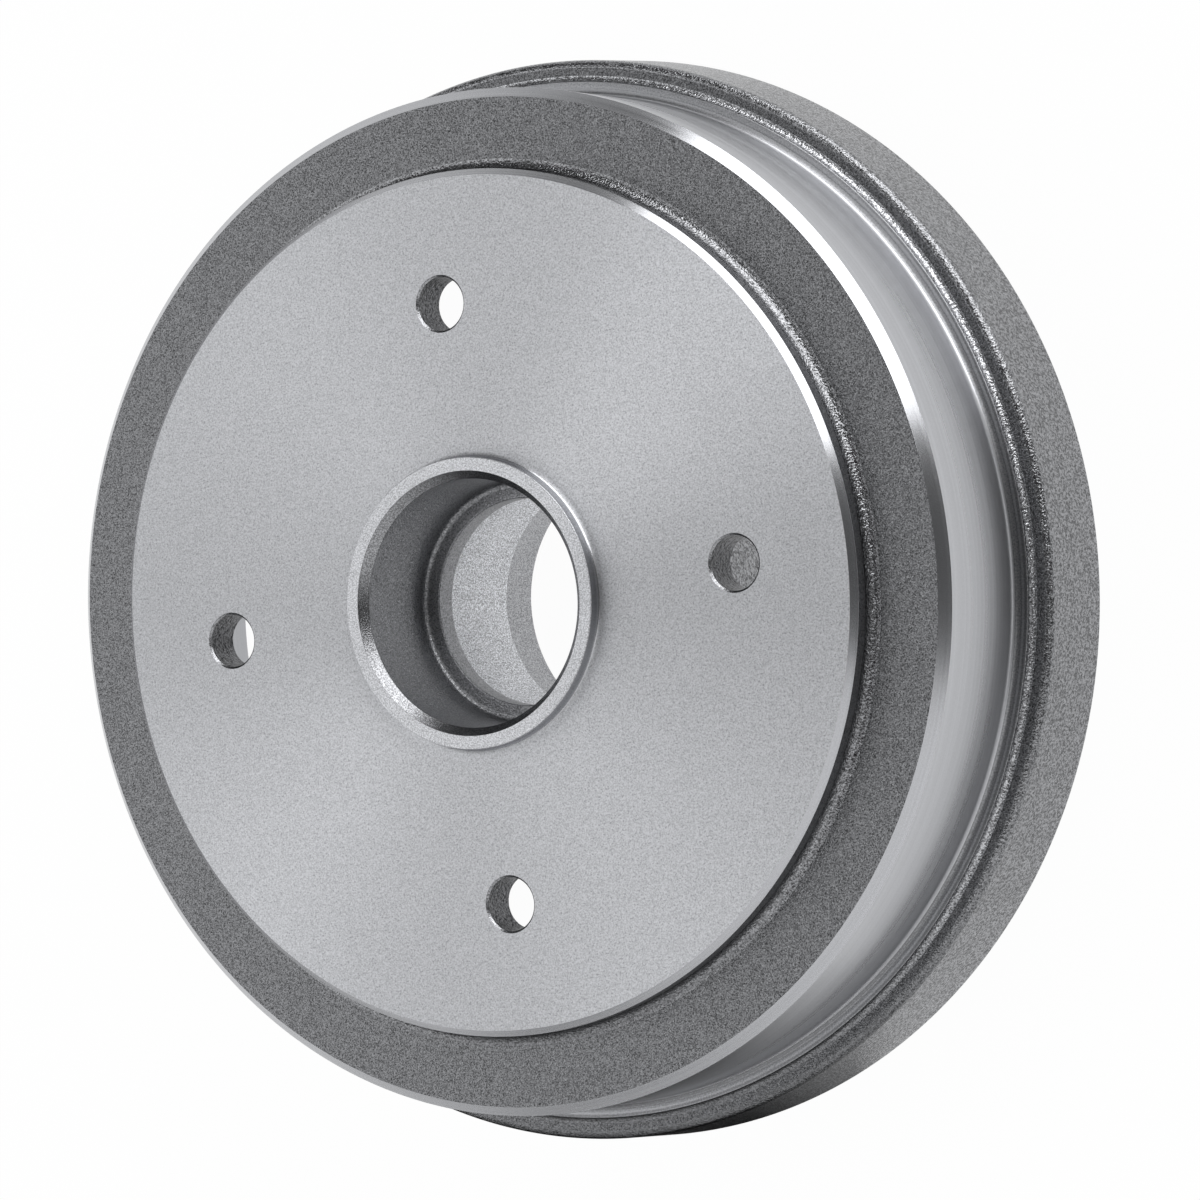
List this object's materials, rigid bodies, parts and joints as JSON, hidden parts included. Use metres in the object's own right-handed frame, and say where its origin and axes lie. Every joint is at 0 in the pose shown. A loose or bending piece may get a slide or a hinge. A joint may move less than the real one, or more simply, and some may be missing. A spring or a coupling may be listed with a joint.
{
  "type": "brake drum",
  "caption": "Small rear brake drum cast in one piece with its hub, with a raised turned wheel face, plain stud holes, a turned neck and a flanged open rim.",
  "frame": {"origin": "on the axle's line, at the plane of the hub's inner end, which the part stands on", "axes": "+Z along the axle towards the wheel, +X and +Y through stud holes"},
  "size_m": [0.2118, 0.2118, 0.064],
  "materials": {
    "iron": "grey iron, cast and rough, with a turned wheel face, neck, flange and bores"
  },
  "bodies": {
    "root": {"brake_drum": "iron"}
  },
  "joints": []
}
